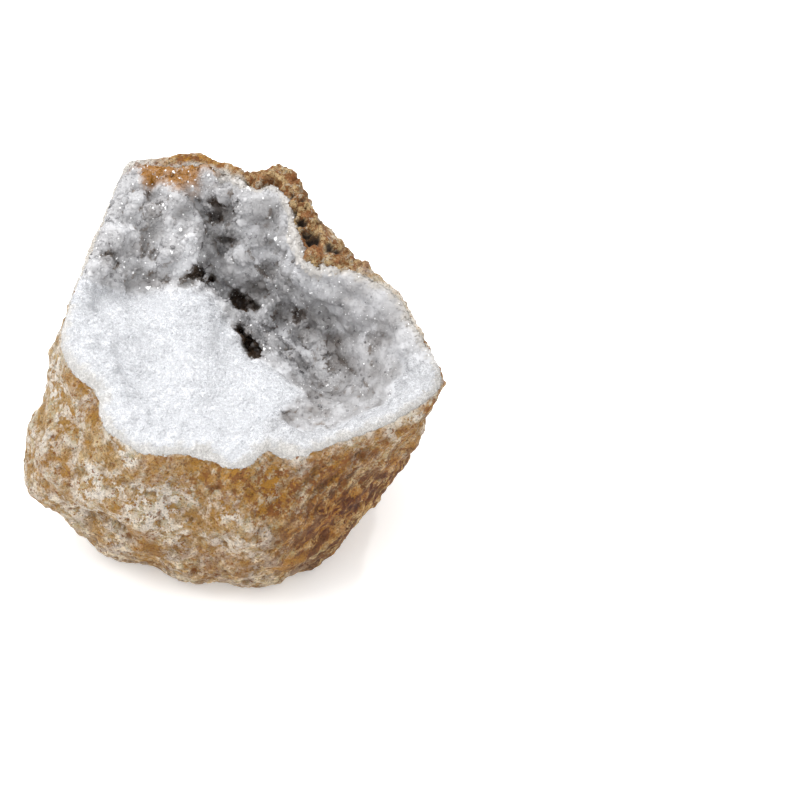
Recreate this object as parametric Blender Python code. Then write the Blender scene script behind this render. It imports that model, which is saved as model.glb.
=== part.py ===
"""Half of a broken quartz geode: a chalky stone rind around a hollow lined with one crust of quartz crystals.

The stone rests on a small natural flat. Its broken face leans towards the front (-Y), so the back wall
stands higher than the front lip. Lengths are in millimetres here and become metres when a mesh is made.
"""

import math
import random

import bmesh
import bpy
import numpy as np
from mathutils import Vector, noise
from mathutils.bvhtree import BVHTree
from mathutils.geometry import delaunay_2d_cdt

MM = 0.001

# Driving dimensions
BROKEN_FACE_TILT = math.radians(26)
BROKEN_FACE_HEIGHT = 56.0
RIND_WALL = 5.0
CRUST_GAP = 0.35
CRUST_LEAST = 2.2
RIM_TAPER = 0.35
RIM_ROUGHNESS = 0.7
RIM_LUMPS = 4.0
BAND_BUMP = 1.5
BAND_BUMP_SHARE = 0.2
BAND_BUMP_WIDTH = 3.0
BAND_CROWN = 0.1

# The outside's relief: lumps, knobs and a ledge that wanders around the stone below its broken face
STONE_LUMP = 2.4
STONE_LUMP_WIDTH = 16.0
STONE_KNOB = 1.7
STONE_KNOB_WIDTH = 7.0
LEDGE_DEPTH = 2.4
LEDGE_LEVEL = -19.0
LEDGE_WANDER = 4.0
LEDGE_HALF_WIDTH = 2.6
LEDGE_PATCH_WIDTH = 24.0
RELIEF_FADE_SHARE = 0.9
RELIEF_FADE_HEIGHT = 6.0

# How finely each sheet is cut into facets
RIM_STEPS = 96
BAND_ROWS = 4
STONE_SPACING = 3.0
CAVITY_SPACING = 6.5
CAVITY_RIM_SPACING = 3.0
CAVITY_RIM_DEPTHS = (2.0, 14.0)
CRYSTAL_SPACING = 2.4
CRYSTAL_SPREAD = 0.3
CRYSTAL_PATCH_WIDTH = 9.0
CANDIDATES = 20000

# Outline of the broken rim in the broken face, right and up from its centre, anticlockwise from the right
RIM = [
    (37, 2), (33, 6), (30, 10), (25, 13), (20, 18), (15, 27), (13.5, 33), (10.5, 36.5), (6.5, 36), (3.5, 33),
    (0, 36), (-6, 38), (-12, 40), (-17.5, 38.5), (-25.5, 37.5), (-28, 31), (-31, 20), (-36, 4), (-38, -4),
    (-38, -10), (-35, -15.5), (-31.5, -18.5), (-29, -22), (-27.5, -29.5), (-21.5, -35), (-17, -37),
    (-5.5, -36.5), (-1, -39), (2, -40.5), (8, -35.5), (15, -37.5), (24, -34), (33, -30.5), (39, -27),
    (44, -23), (46.5, -19.5), (44.5, -14), (40.5, -5),
]

# Rings of the outside at eight compass points, anticlockwise from the right: x, y and height
BELT = [
    (39, -7, 27), (36, 22, 33), (0, 43, 38), (-34, 32, 36),
    (-47.5, -9, 24), (-40, -27, 25), (0, -40, 20), (26, -29, 21),
]
BELLY = [
    (27, -5, 8), (27, 20, 9), (-1, 34, 10), (-28, 25, 9),
    (-38, -9, 7), (-31, -25, 6), (0, -35, 5), (19, -26, 6),
]
FOOT = [
    (18, -3, 0), (14, 12, 0), (-2, 19, 0), (-20, 14, 0),
    (-27, -8, 0), (-21, -20, 0), (0, -27, 0), (14, -20, 0),
]
FOOT_CENTRE = (-3, -3, 0)
RING_SHARES = (0.0, 0.24, 0.39, 0.66, 1.0)

# Width of the broken stone edge by direction in degrees: it is broad and porous at the top right
BAND_WIDTHS = [
    (0, 2.2), (9, 3.0), (20, 6.5), (31, 9.0), (45, 8.0), (62, 6.5), (72, 7.0),
    (80, 5.5), (89, 3.5), (105, 4.0), (120, 3.5), (130, 1.5), (200, 1.5), (215, 2.0), (340, 2.0),
]

# The crystal bed: right and up in the broken face, then height over that face
MOUND = [
    (-35, -7, -1), (-28, -4, -4), (-18, 0, -8), (-29, 5, -7), (-13, -10, -8), (-23, -16, -5), (-14, -24, -4),
    (-3, -19, -8), (5, -24, -8), (-7, -32, -2.5), (2, -36, -1), (10, -30, -3),
]
MOUND_CREST = [
    (-21, 8, -12), (-8, 8, -12), (-4, 5, -13), (-2, -1, -14), (2, -7, -14), (10, -11, -13), (15, -17, -12),
]
BACK_WALL = [
    (-21, 32, -4), (-25, 22, -6), (-16, 20, -7), (-29, 13, -7), (-18, 12, -11), (-33, 7, -6),
    (-11, 34, -4), (-11, 28, -7), (-11, 20, -9), (-12, 13, -12),
    (2, 31, -5), (5, 28, -5), (9, 22, -8), (11, 17, -11), (14, 11, -13), (6, 21, -14), (0, 20, -19),
]
RECESS = [(-7, 31, -11), (-6, 27, -19), (-5, 23, -27), (-6, 18, -33)]
CHANNEL = [(-1, 12, -37), (5, 6, -35), (10, 2, -32), (18, -4, -27), (23, -11, -20)]
RIGHT_SLOPE = [
    (18, 8, -13), (22, 4, -16), (25, 8, -3), (32, 3, -4), (36, -4, -4.5), (40, -14, -3.5), (29, -4, -11),
    (34, -13, -7), (28, -12, -13), (21, -16, -17), (32, -20, -7), (21, -25, -9), (27, -23, -8), (17, -24, -11),
    (36, -24, -2), (25, -30, -3),
]
BED = MOUND + MOUND_CREST + BACK_WALL + RECESS + CHANNEL + RIGHT_SLOPE

# Rounded clusters that stand on the bed: right, up, radius and height
CLUSTERS = [
    (-5, 26, 5.0, 5.0), (0, 19, 5.5, 4.5), (7, 7, 4.5, 5.0), (-17, 27, 5.0, 2.5), (-24, 17, 5.5, 2.5),
    (-13, 17, 4.0, 2.5), (-29, 9, 4.0, 2.0), (6, 27, 4.5, 2.5), (13, 14, 4.5, 2.5), (9, -31, 5.0, 2.5),
    (17, 6, 4.0, 3.0), (24, 2, 4.5, 3.0), (31, -2, 5.0, 2.0), (35, -17, 5.5, 1.8), (22, -20, 4.5, 2.5),
    (29, -8, 4.0, 2.2), (26, -27, 4.0, 1.6), (-25, -8, 7.0, 1.5), (-10, -14, 8.0, 1.5), (-6, -28, 6.0, 1.2),
]

CRYSTAL_HEIGHT = 1.6
CRYSTAL_VALLEY = 0.4
CRYSTAL_LEAN = 0.4


def smoothstep(low, high, x):
    t = np.clip((x - low) / (high - low), 0.0, 1.0)
    return t * t * (3 - 2 * t)


def tilted(a, b, c):
    """Points given right, up and out of the broken face, in the upright frame."""
    sine, cosine = math.sin(BROKEN_FACE_TILT), math.cos(BROKEN_FACE_TILT)
    return np.stack([a, cosine * b - sine * c, BROKEN_FACE_HEIGHT + sine * b + cosine * c], axis=-1)


FACE_NORMAL = np.array([0.0, -math.sin(BROKEN_FACE_TILT), math.cos(BROKEN_FACE_TILT)])
FACE_CENTRE = np.array([0.0, 0.0, BROKEN_FACE_HEIGHT])
BODY_CORE = np.array([0.0, 0.0, 40.0])
CLEAR_ABOVE = 20.0


def around(points, turns):
    """A closed smooth curve through points, read at turns from 0 to 1 that pass a point every 1 / len(points)."""
    points = np.array(points, float)
    place = np.asarray(turns) * len(points)
    start = np.floor(place).astype(int)
    t = (place - start)[..., None]
    p0, p1, p2, p3 = (points[(start + k) % len(points)] for k in (-1, 0, 1, 2))
    return 0.5 * (
        2 * p1 + (p2 - p0) * t + (2 * p0 - 5 * p1 + 4 * p2 - p3) * t**2 + (3 * p1 - p0 - 3 * p2 + p3) * t**3
    )


def rim_radius(angle):
    """How far the rim is from the broken face's centre in each direction."""
    curve = around(RIM, np.linspace(0, 1, 40 * len(RIM), endpoint=False))
    directions = np.degrees(np.arctan2(curve[:, 1], curve[:, 0])) % 360
    order = np.argsort(directions)
    return np.interp(np.degrees(angle) % 360, directions[order], np.hypot(*curve[order].T), period=360)


def rim_lip(angle):
    """How far the broken rim stands out of the broken face, or is sunk into it."""
    places = [Vector((RIM_LUMPS * math.cos(t), RIM_LUMPS * math.sin(t), 7.3)) for t in angle]
    return RIM_ROUGHNESS * np.array([noise.fractal(place, 0.7, 2.0, 3) for place in places])


def band_width(angle):
    directions, widths = np.array(BAND_WIDTHS, float).T
    return np.interp(np.degrees(angle) % 360, directions, widths, period=360)


def rim_at(angle, inset):
    """The rim, moved inset millimetres towards the broken face's centre."""
    radius = rim_radius(angle) - inset
    return tilted(radius * np.cos(angle), radius * np.sin(angle), rim_lip(angle))


def lofted(rings, share):
    """The smooth surface through rings, given from the stone's middle up to its rim, at those shares."""
    slopes = [(rings[1] - rings[0]) / RING_SHARES[1]]
    for k in range(1, len(rings) - 1):
        slopes.append((rings[k + 1] - rings[k - 1]) / (RING_SHARES[k + 1] - RING_SHARES[k - 1]))
    slopes.append((rings[-1] - rings[-2]) / (RING_SHARES[-1] - RING_SHARES[-2]))
    points = np.zeros_like(rings[-1])
    for k in range(len(rings) - 1):
        low, high = RING_SHARES[k], RING_SHARES[k + 1]
        t = np.clip((share - low) / (high - low), 0, 1)[:, None]
        piece = (
            (2 * t**3 - 3 * t**2 + 1) * rings[k] + (t**3 - 2 * t**2 + t) * (high - low) * slopes[k]
            + (3 * t**2 - 2 * t**3) * rings[k + 1] + (t**3 - t**2) * (high - low) * slopes[k + 1]
        )
        here = (share >= low) & (share <= high)
        points[here] = piece[here]
    return points


def body_rings(angle):
    """The outside's rings from its middle up to its belt, at those directions."""
    centre = np.broadcast_to(np.array(FOOT_CENTRE, float), (len(angle), 3))
    return [centre] + [around(ring, angle / math.tau) for ring in (FOOT, BELLY, BELT)]


def stone_relief(point):
    """Height of the lumps, knobs and wandering ledge on the stone's outside at a point."""
    p = Vector(point)
    lump = STONE_LUMP * noise.noise(p / STONE_LUMP_WIDTH + Vector((3.1, 0.4, 8.2)))
    knob = STONE_KNOB * noise.noise(p / STONE_KNOB_WIDTH)
    level = LEDGE_LEVEL + LEDGE_WANDER * noise.noise(p / STONE_LUMP_WIDTH)
    off_ledge = ((point - FACE_CENTRE) @ FACE_NORMAL - level) / LEDGE_HALF_WIDTH
    patch = max(0.0, 0.6 + noise.noise(p / LEDGE_PATCH_WIDTH))
    return lump + knob - LEDGE_DEPTH * patch * math.exp(-off_ledge**2)


def outside(angle, share):
    """The stone's outside, flat where it rests."""
    points = lofted(body_rings(angle) + [rim_at(angle, 0.0)], share)
    outwards = points - BODY_CORE
    outwards /= np.linalg.norm(outwards, axis=1, keepdims=True)
    relief = np.array([stone_relief(p) for p in points])
    relief *= (1 - smoothstep(RELIEF_FADE_SHARE, 1.0, share)) * smoothstep(0.0, RELIEF_FADE_HEIGHT, points[:, 2])
    points = points + outwards * relief[:, None]
    points[:, 2] = np.maximum(points[:, 2], 0.0)
    return points


def cavity(angle, share, gap):
    """The stone's inside, where the quartz grew, moved gap millimetres further in."""
    rings = []
    for ring in body_rings(angle):
        inwards = BODY_CORE - ring
        inwards /= np.linalg.norm(inwards, axis=1, keepdims=True)
        rings.append(ring + inwards * (RIND_WALL + gap))
    return lofted(rings + [rim_at(angle, band_width(angle) + gap)], share)


def thin_plate(distance):
    return distance**2 * np.log(np.maximum(distance, 1e-9))


def fitted_bed():
    """The smooth surface through the bed's points and the crust's rim, as a function of right and up."""
    angle = np.linspace(0, math.tau, RIM_STEPS, endpoint=False)
    radius = rim_radius(angle) - band_width(angle) - CRUST_GAP
    rim = np.stack([radius * np.cos(angle), radius * np.sin(angle), rim_lip(angle)], axis=1)
    known = np.concatenate([np.array(BED, float), rim])
    places, heights = known[:, :2], known[:, 2]
    flat = np.column_stack([np.ones(len(known)), places])
    apart = np.linalg.norm(places[:, None] - places[None], axis=2)
    system = np.block([[thin_plate(apart), flat], [flat.T, np.zeros((3, 3))]])
    weights = np.linalg.solve(system, np.concatenate([heights, np.zeros(3)]))

    def height(a, b):
        here = np.stack([a, b], axis=1)
        distance = np.linalg.norm(here[:, None] - places[None], axis=2)
        found = thin_plate(distance) @ weights[:-3] + weights[-3] + here @ weights[-2:]
        rise = np.zeros(len(a))
        for right, up, size, stand in CLUSTERS:
            rise = np.maximum(rise, stand * (1 - ((a - right) ** 2 + (b - up) ** 2) / size**2))
        return found + rise

    return height


def crystal_bed(height, back):
    """The crust's inner surface before its crystals, as a function of direction and share."""

    def surface(angle, share):
        full = rim_radius(angle) - band_width(angle) - CRUST_GAP
        a, b = share * full * np.cos(angle), share * full * np.sin(angle)
        c = height(a, b)
        for k, start in enumerate(tilted(a, b, np.full(len(a), CLEAR_ABOVE))):
            hit = back.ray_cast(start, -FACE_NORMAL)[3]
            if hit is not None:
                least = min(CRUST_LEAST, full[k] * (1 - share[k]))
                c[k] = max(c[k], CLEAR_ABOVE - hit + least)
        edge = share > 1 - 1e-9
        c[edge] = rim_lip(angle[edge])
        return tilted(a, b, c)

    return surface


def scattered(surface, ring, spacing, seed):
    """Places on a surface at least spacing apart, the ring's first, as direction and share."""
    dice = np.random.default_rng(seed)
    angle = dice.random(CANDIDATES) * math.tau
    share = np.sqrt(dice.random(CANDIDATES))
    points = surface(angle, share)
    room = spacing(points)
    kept_points = np.zeros((RIM_STEPS + CANDIDATES, 3))
    kept_points[:RIM_STEPS] = surface(ring, np.ones(RIM_STEPS))
    count, kept = RIM_STEPS, []
    for k in range(CANDIDATES):
        if np.min(np.sum((kept_points[:count] - points[k]) ** 2, axis=1)) > room[k] ** 2:
            kept_points[count] = points[k]
            count += 1
            kept.append(k)
    return np.concatenate([ring, angle[kept]]), np.concatenate([np.ones(RIM_STEPS), share[kept]])


def triangulated(surface, angle, share):
    """Triangles over those places, turned so that they suit the curved surface."""
    flat = [Vector((s * math.cos(t), s * math.sin(t))) for t, s in zip(angle, share)]
    made = delaunay_2d_cdt(flat, [], [], 0, 1e-9)
    sources = [found[0] for found in made[3]]
    bm = bmesh.new()
    verts = [bm.verts.new(p) for p in surface(angle, share)]
    for face in made[2]:
        bm.faces.new([verts[sources[v]] for v in face])
    inner_edges = [e for e in bm.edges if len(e.link_faces) == 2]
    bmesh.ops.beautify_fill(bm, faces=bm.faces[:], edges=inner_edges, method="AREA")
    bm.verts.index_update()
    faces = np.array([[v.index for v in face.verts] for face in bm.faces])
    bm.free()
    return faces


def point_normals(points, faces):
    across = np.cross(points[faces[:, 1]] - points[faces[:, 0]], points[faces[:, 2]] - points[faces[:, 0]])
    normals = np.zeros_like(points)
    for corner in range(3):
        np.add.at(normals, faces[:, corner], across)
    return normals / np.linalg.norm(normals, axis=1, keepdims=True)


def kept_clear(points, ring_points, back):
    """Front points moved off the crust's back until the crust is thick enough, and thin only at its rim."""
    points = points.copy()
    for k in range(len(points)):
        from_rim = np.linalg.norm(ring_points - points[k], axis=1).min()
        least = min(CRUST_LEAST, RIM_TAPER * from_rim)
        for _ in range(4):
            place, normal, _, distance = back.find_nearest(Vector(points[k]))
            outwards = (Vector(points[k]) - place).dot(normal) < 0
            short = least + distance if outwards else least - distance
            if short <= 0:
                break
            points[k] += np.array(normal) * short
    return points


def crystal_sheet(points, faces, back, seed):
    """Each inner point becomes the tip of a crystal, whose flat faces meet its neighbours' in valleys."""
    dice = random.Random(seed)
    normals = point_normals(points, faces)
    tips = points.copy()
    for k in range(RIM_STEPS, len(points)):
        height = CRYSTAL_HEIGHT * dice.uniform(0.6, 1.3)
        lean = Vector((dice.gauss(0, 1), dice.gauss(0, 1), dice.gauss(0, 1))).normalized() * CRYSTAL_LEAN
        tips[k] += normals[k] * height + np.array(lean)
    valleys = points[faces].mean(axis=1) - normals[faces].mean(axis=1) * CRYSTAL_VALLEY
    tips[RIM_STEPS:] = kept_clear(tips[RIM_STEPS:], points[:RIM_STEPS], back)
    valleys = kept_clear(valleys, points[:RIM_STEPS], back)
    neighbours = {}
    for number, face in enumerate(faces):
        for k in range(3):
            neighbours[(face[k], face[(k + 1) % 3])] = number
    made = []
    for (start, end), number in neighbours.items():
        other = neighbours.get((end, start))
        valley = len(points) + number
        if other is None:
            made.append((start, end, valley))
        elif start < end:
            across = len(points) + other
            made += [(start, across, valley), (end, valley, across)]
    return np.concatenate([tips, valleys]), np.array(made)


def edge_band(ring):
    """The broken edge of the stone, from the outer rim to the quartz, with low bumps where it is broad."""
    width = band_width(ring)
    rows = []
    for row in range(BAND_ROWS + 1):
        t = row / BAND_ROWS
        points = rim_at(ring, t * width)
        if 0 < row < BAND_ROWS:
            bumps = np.array([noise.noise(Vector(p) / BAND_BUMP_WIDTH) for p in points])
            bumps *= np.minimum(BAND_BUMP, BAND_BUMP_SHARE * width)
            points += FACE_NORMAL * (bumps + BAND_CROWN * width)[:, None]
        rows.append(points)
    faces = []
    for row in range(BAND_ROWS):
        for k in range(RIM_STEPS):
            after = (k + 1) % RIM_STEPS
            here, there = row * RIM_STEPS, (row + 1) * RIM_STEPS
            faces += [(here + k, here + after, there + k), (here + after, there + after, there + k)]
    return np.concatenate(rows), np.array(faces)


def solid(name, sheets, material):
    """One closed mesh from sheets that share their edge rings."""
    bm = bmesh.new()
    for points, faces in sheets:
        verts = [bm.verts.new(p * MM) for p in points]
        for face in faces:
            bm.faces.new([verts[v] for v in face])
    bmesh.ops.remove_doubles(bm, verts=bm.verts, dist=1e-7)
    bmesh.ops.recalc_face_normals(bm, faces=bm.faces)
    if bm.calc_volume(signed=True) < 0:
        bmesh.ops.reverse_faces(bm, faces=bm.faces)
    mesh = bpy.data.meshes.new(name)
    bm.to_mesh(mesh)
    bm.free()
    mesh.materials.append(material)
    obj = bpy.data.objects.new(name, mesh)
    bpy.context.scene.collection.objects.link(obj)
    return obj


def plain_material(name, color, roughness):
    material = bpy.data.materials.new(name)
    material.use_nodes = True
    shader = material.node_tree.nodes["Principled BSDF"]
    shader.inputs["Base Color"].default_value = (*color, 1.0)
    shader.inputs["Roughness"].default_value = roughness
    shader.inputs["Metallic"].default_value = 0.0
    return material


def stand_on_origin(objects):
    """Moves the pieces so that the origin is under the middle of their box."""
    corners = np.array([v.co for obj in objects for v in obj.data.vertices])
    middle = (corners.min(axis=0) + corners.max(axis=0)) / 2
    for obj in objects:
        obj.location = (-middle[0], -middle[1], 0.0)


def stone_room(points):
    return np.full(len(points), STONE_SPACING)


def cavity_room(points):
    """The hollow's back is cut more finely near its rim, where the crust is thin."""
    depth = (FACE_CENTRE - points) @ FACE_NORMAL
    deep = smoothstep(*CAVITY_RIM_DEPTHS, depth)
    return CAVITY_RIM_SPACING + (CAVITY_SPACING - CAVITY_RIM_SPACING) * deep


def crystal_room(points):
    patch = np.array([noise.noise(Vector(p) / CRYSTAL_PATCH_WIDTH) for p in points])
    return CRYSTAL_SPACING * (1 + CRYSTAL_SPREAD * patch)


def make_rind(ring, inside_points, inside_faces):
    """The stone shell: its outside, its broken edge and the wall that the quartz grew on."""
    angle, share = scattered(outside, ring, stone_room, seed=3)
    stone_outside = outside(angle, share), triangulated(outside, angle, share)
    material = plain_material("chalky_stone", (0.62, 0.47, 0.31), 0.9)
    return solid("rind", [stone_outside, edge_band(ring), (inside_points, inside_faces)], material)


def make_crystal_crust(ring, back_points, back_faces):
    """The one crust of grown-together crystals that lines the hollow."""
    back = BVHTree.FromPolygons(back_points.tolist(), back_faces.tolist())
    bed = crystal_bed(fitted_bed(), back)
    angle, share = scattered(bed, ring, crystal_room, seed=7)
    front = crystal_sheet(bed(angle, share), triangulated(bed, angle, share), back, seed=11)
    material = plain_material("white_quartz", (0.86, 0.86, 0.88), 0.2)
    return solid("crystal_crust", [front, (back_points, back_faces)], material)


def stone_inside(angle, share):
    return cavity(angle, share, 0.0)


def main():
    for obj in list(bpy.data.objects):
        bpy.data.objects.remove(obj)
    ring = np.linspace(0, math.tau, RIM_STEPS, endpoint=False)
    angle, share = scattered(stone_inside, ring, cavity_room, seed=5)
    faces = triangulated(stone_inside, angle, share)
    rind = make_rind(ring, stone_inside(angle, share), faces)
    crust = make_crystal_crust(ring, cavity(angle, share, CRUST_GAP), faces)
    stand_on_origin([rind, crust])


main()
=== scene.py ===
"""The looks of a broken geode half: a rough tan stone lined with white, sugary quartz, on a white floor.

Lengths are in millimetres here, in the CAD's frame, and become metres when a mesh or light is made. A pair
of numbers is a range over which a mark goes from nothing to full or back, or from which a size is drawn,
where no comment says otherwise.
"""

import math

import bmesh
import bpy
import numpy as np
from mathutils import Matrix, Vector, noise
from mathutils.bvhtree import BVHTree
from mathutils.kdtree import KDTree


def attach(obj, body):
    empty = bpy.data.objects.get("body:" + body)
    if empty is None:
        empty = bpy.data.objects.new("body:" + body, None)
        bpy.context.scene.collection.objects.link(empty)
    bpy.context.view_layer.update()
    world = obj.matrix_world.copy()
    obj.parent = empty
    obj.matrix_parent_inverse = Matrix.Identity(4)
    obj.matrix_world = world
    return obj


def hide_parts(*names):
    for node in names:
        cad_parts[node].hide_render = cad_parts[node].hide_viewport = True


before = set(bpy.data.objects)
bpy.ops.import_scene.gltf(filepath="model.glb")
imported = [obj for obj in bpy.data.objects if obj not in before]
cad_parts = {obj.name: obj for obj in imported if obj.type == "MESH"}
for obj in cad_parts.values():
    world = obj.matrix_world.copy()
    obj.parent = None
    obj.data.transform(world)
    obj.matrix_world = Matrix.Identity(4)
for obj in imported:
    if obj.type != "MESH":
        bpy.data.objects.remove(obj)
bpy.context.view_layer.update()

MM = 0.001

# The broken face: its middle and tilt, as in the CAD
FACE_CENTRE = np.array([0.81, -1.82, 56.0])
FACE_TILT = math.radians(26)
FACE_UP = np.array([0.0, math.cos(FACE_TILT), math.sin(FACE_TILT)])
FACE_NORMAL = np.array([0.0, -math.sin(FACE_TILT), math.cos(FACE_TILT)])

# The camera
CAMERA_ELEVATION = math.radians(38)
CAMERA_DISTANCE = 500.0
CAMERA_AIM = (36.8, -6.0, 32.6)
CAMERA_BACK = np.array([0.0, -math.cos(CAMERA_ELEVATION), math.sin(CAMERA_ELEVATION)])
CAMERA_UP = np.array([0.0, math.sin(CAMERA_ELEVATION), math.cos(CAMERA_ELEVATION)])
CAMERA_LENS = 100.0
CAMERA_SENSOR = 36.0
CAMERA_NEAR = 10.0

# Mesh fineness
STONE_VOXEL = 0.7
CRUST_VOXEL = 0.6

# How much the quartz's skin is swelled, and how far skin and stone stay apart
CRUST_SWELL = 0.8
STONE_CLEARANCE = 0.9


# Fields and places

FRACTAL_FALL = 0.8
FRACTAL_STEP = 2.1


def smoothstep(low, high, x):
    t = np.clip((x - low) / (high - low), 0.0, 1.0)
    return t * t * (3 - 2 * t)


def fading(low, high, x):
    """1 under low and 0 over high."""
    return 1 - smoothstep(low, high, x)


def in_face(points):
    """Right, up and out of the broken face for points in the upright frame."""
    away = points - FACE_CENTRE
    return away[:, 0], away @ FACE_UP, away @ FACE_NORMAL


def bearing(right, up):
    """The direction around the opening in degrees, anticlockwise from the right."""
    return np.degrees(np.arctan2(up, right))


def seed_shift(seed):
    """Where in the noise a field with that seed starts."""
    return Vector((seed, 2.7 * seed, -1.3 * seed))


def noise_at(points, width, seed=0.0):
    """Smooth noise from -1 to 1 with lumps that wide."""
    shift = seed_shift(seed)
    return np.array([noise.noise(Vector(p) / width + shift) for p in points])


def uneven(points, width, reach, seed):
    """Smooth noise from -reach to reach."""
    return reach * noise_at(points, width, seed=seed)


def patches_at(points, width, low, high, seed):
    """Patches about that wide: 0 where the noise is under low, 1 where it is over high."""
    return smoothstep(low, high, noise_at(points, width, seed=seed))


def fractal_at(points, width, octaves, seed=0.0):
    shift = seed_shift(seed)
    kind = (FRACTAL_FALL, FRACTAL_STEP, octaves)
    return np.array([noise.fractal(Vector(p) / width + shift, *kind) for p in points])


def cells_at(points, width, seed):
    """Distance to the nearest centre of cells that wide, in cell widths."""
    shift = seed_shift(seed)
    return np.array([noise.voronoi(Vector(p) / width + shift)[0][0] for p in points])


def wavered(points, width, reach, seed):
    """The points moved about by noise, so that what is measured from them has ragged edges."""
    steps = [noise_at(points, width, seed=seed + k) for k in (0.0, 2.0, 4.0)]
    return points + reach * np.stack(steps, axis=1)


# Blocky clumps, by cell width: how far and how often their sides waver, how wide the sides and how round the
# tops are
BLOCK_WAVER = 0.3
BLOCK_WAVERS = 1.7
BLOCK_SIDE = 0.16
BLOCK_ROUNDING = 0.6
BLOCK_TOP = 0.35
BLOCK_FOOT = 0.8
CELL_TONE_SCALE = 31.7


def blocks_at(points, width, seed):
    """Blocky clumps from about -1 to 1: each cell has its own height, a rounded top and a steep side."""
    shift = seed_shift(seed)
    bent = wavered(points, width / BLOCK_WAVERS, BLOCK_WAVER * width, seed + 0.5)
    heights = []
    for p in bent:
        away, centres = noise.voronoi(Vector(p) / width + shift)
        own, next_one = (noise.cell(centre * CELL_TONE_SCALE) for centre in centres[:2])
        blend = 0.5 * (1 - min((away[1] - away[0]) / BLOCK_SIDE, 1.0))
        top = BLOCK_TOP - min(away[0] ** 2, BLOCK_FOOT)
        heights.append(own + (next_one - own) * blend + BLOCK_ROUNDING * top)
    return np.array(heights)


# Meshes

SMOOTHING_SHARE = 0.5


def mesh_points(mesh):
    points = np.empty(len(mesh.vertices) * 3)
    mesh.vertices.foreach_get("co", points)
    return points.reshape(-1, 3) / MM


def mesh_normals(mesh):
    normals = np.empty(len(mesh.vertices) * 3)
    mesh.vertex_normals.foreach_get("vector", normals)
    return normals.reshape(-1, 3)


def mesh_triangles(mesh):
    mesh.calc_loop_triangles()
    triangles = np.empty(len(mesh.loop_triangles) * 3, int)
    mesh.loop_triangles.foreach_get("vertices", triangles)
    return triangles.reshape(-1, 3)


def set_points(mesh, points):
    mesh.vertices.foreach_set("co", (points * MM).ravel())
    mesh.update()


def smoothed(mesh, values, share, rounds):
    """The vertices' values, each moved by its share towards its neighbours' middle that many times."""
    edges = np.empty(len(mesh.edges) * 2, int)
    mesh.edges.foreach_get("vertices", edges)
    first, second = edges.reshape(-1, 2).T
    neighbours = np.bincount(edges, minlength=len(values))[:, None]
    for _ in range(rounds):
        total = np.zeros_like(values)
        np.add.at(total, first, values[second])
        np.add.at(total, second, values[first])
        values = values + share[:, None] * (total / neighbours - values)
    return values


def nearest_in(points, others):
    """For each of the others the number of the nearest of the points."""
    tree = KDTree(len(points))
    for number, point in enumerate(points.tolist()):
        tree.insert(point, number)
    tree.balance()
    return np.array([tree.find(point)[1] for point in others.tolist()])


def tree_of(mesh):
    points = mesh_points(mesh)
    return BVHTree.FromPolygons(points.tolist(), [p.vertices[:] for p in mesh.polygons])


def distance_to(tree, points):
    return np.array([tree.find_nearest(p)[3] for p in points.tolist()])


def is_within(tree, points, reach):
    """Whether each point has the tree's surface within reach."""
    return np.array([tree.find_nearest(p, reach)[0] is not None for p in points.tolist()])


def store(mesh, marks):
    """One value for each vertex and mark, which a material reads by the mark's name."""
    for name, values in marks.items():
        attribute = mesh.attributes.new(name, "FLOAT", "POINT")
        attribute.data.foreach_set("value", np.asarray(values, np.float32))


def with_modifiers(name, mesh, modifiers):
    """A new mesh: the given one after these modifiers, each a type and its settings."""
    obj = bpy.data.objects.new(name, mesh)
    bpy.context.scene.collection.objects.link(obj)
    for kind, settings in modifiers:
        modifier = obj.modifiers.new(kind, kind)
        for key, value in settings.items():
            setattr(modifier, key, value)
    made = bpy.data.meshes.new_from_object(obj.evaluated_get(bpy.context.evaluated_depsgraph_get()))
    bpy.data.objects.remove(obj)
    made.name = name
    return made


def one_skin(name, mesh, voxel, smoothing, before=()):
    """A new mesh: one skin of even fineness around the given one, after the modifiers before it."""
    return with_modifiers(name, mesh, [
        *before,
        ("REMESH", {"mode": "VOXEL", "voxel_size": voxel * MM}),
        ("SMOOTH", {"factor": SMOOTHING_SHARE, "iterations": smoothing}),
    ])


def add_piece(name, mesh, material, slot, *nodes):
    mesh.materials.clear()
    mesh.materials.append(material)
    obj = bpy.data.objects.new(name, mesh)
    bpy.context.scene.collection.objects.link(obj)
    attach(obj, "root")
    if nodes:
        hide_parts(*nodes)


# The stone

STONE_SMOOTHING = 7

# Relief depths and widths
LUMP = 0.9
LUMP_WIDTH = 7.0
LUMP_EDGE_LOSS = 0.6
GRAIN = 0.42
GRAIN_WIDTH = 1.8
PIT_DEPTH = 0.6
PIT_WIDTH = 2.4
PIT_RADII = (0.10, 0.36)
EDGE_PIT_DEPTH = 1.6
EDGE_PIT_WIDTH = 2.4
EDGE_PIT_RADII = (0.10, 0.45)
LISTED_PIT_RADII = (0.4, 1.2)
EDGE_GRAIN = 1.0
EDGE_GRAIN_WIDTH = 1.7

# Layers of the stone's right side
STRATA_DEPTH = 0.6
STRATA_SPACING = 3.4
STRATA_AXIS = np.array([-0.62, 0.25, 0.74])
STRATA_BENDS = [(3.0, 14.0, 3.0), (1.6, 5.0, 4.0)]
STRATA_SHARPNESS = 1.5
STRATA_MIDDLE = 0.4

# Patchy fields: width and the noise from which they begin and are full
PIT_PATCHES = (9.0, -0.1, 0.35)
EDGE_PIT_PATCHES = (5.0, -0.25, 0.25)
LAYERED_PATCHES = (7.0, -0.2, 0.3)

# How ragged a measured distance gets: the noise's width and reach
STAIN_WAVER = (3.0, 2.2)
EDGE_PIT_WAVER = (1.6, 0.9)
FRINGE_NOISE = (1.8, 0.7)
SHADE_AND_SOIL_NOISE = (8.0, 4)

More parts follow.
